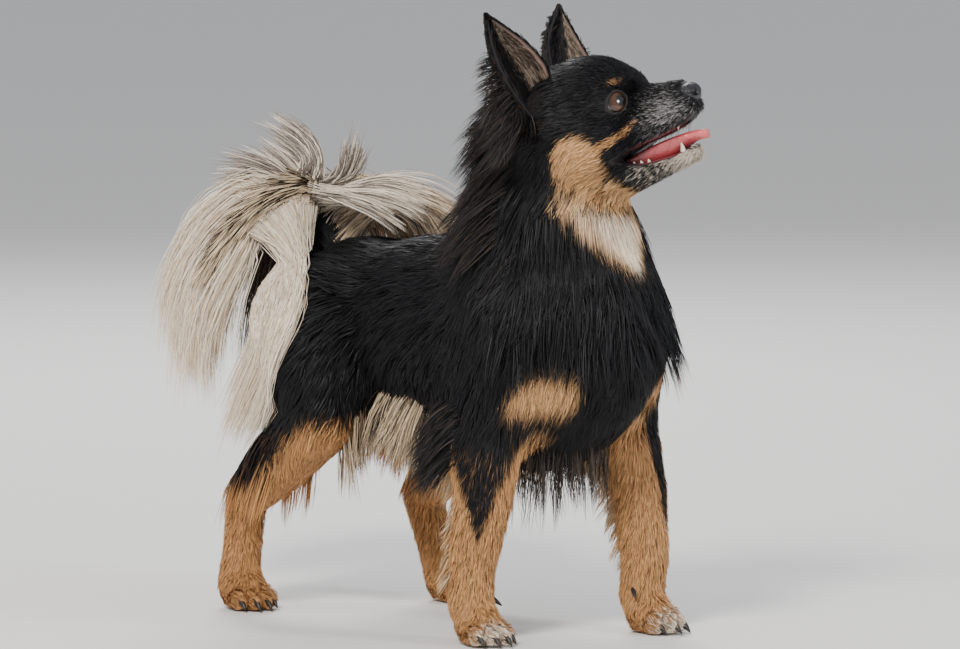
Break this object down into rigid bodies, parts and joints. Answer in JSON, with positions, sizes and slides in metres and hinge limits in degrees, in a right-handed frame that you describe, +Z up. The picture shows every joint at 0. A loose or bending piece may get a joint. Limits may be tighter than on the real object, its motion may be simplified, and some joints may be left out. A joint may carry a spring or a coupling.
{
  "type": "long-haired chihuahua",
  "caption": "Life-size still model of a small long-haired dog standing with its head raised and turned, mouth open and plumed tail curled over",
  "frame": {"origin": "middle of the bounding box, on the floor under the paws", "axes": "+X forwards along the body, +Y to the dog's left, +Z up"},
  "size_m": [0.3144, 0.1342, 0.3066],
  "materials": {
    "black_coat": "glossy black fur",
    "tan_coat": "warm tan fur",
    "cream_coat": "cream fur with grey roots",
    "nose_leather": "moist pebbled black",
    "tongue_flesh": "moist pink",
    "eye": "clear glossy brown"
  },
  "bodies": {
    "root": {"head": "black_coat", "neck": "black_coat", "torso": "black_coat", "ear_right": "black_coat", "ear_left": "black_coat", "jaw": "cream_coat", "tail": "cream_coat", "foreleg_right": "tan_coat", "foreleg_left": "tan_coat", "hindleg_right": "tan_coat", "hindleg_left": "tan_coat", "nose": "nose_leather", "tongue": "tongue_flesh", "eye_right": "eye", "eye_left": "eye"}
  },
  "joints": []
}
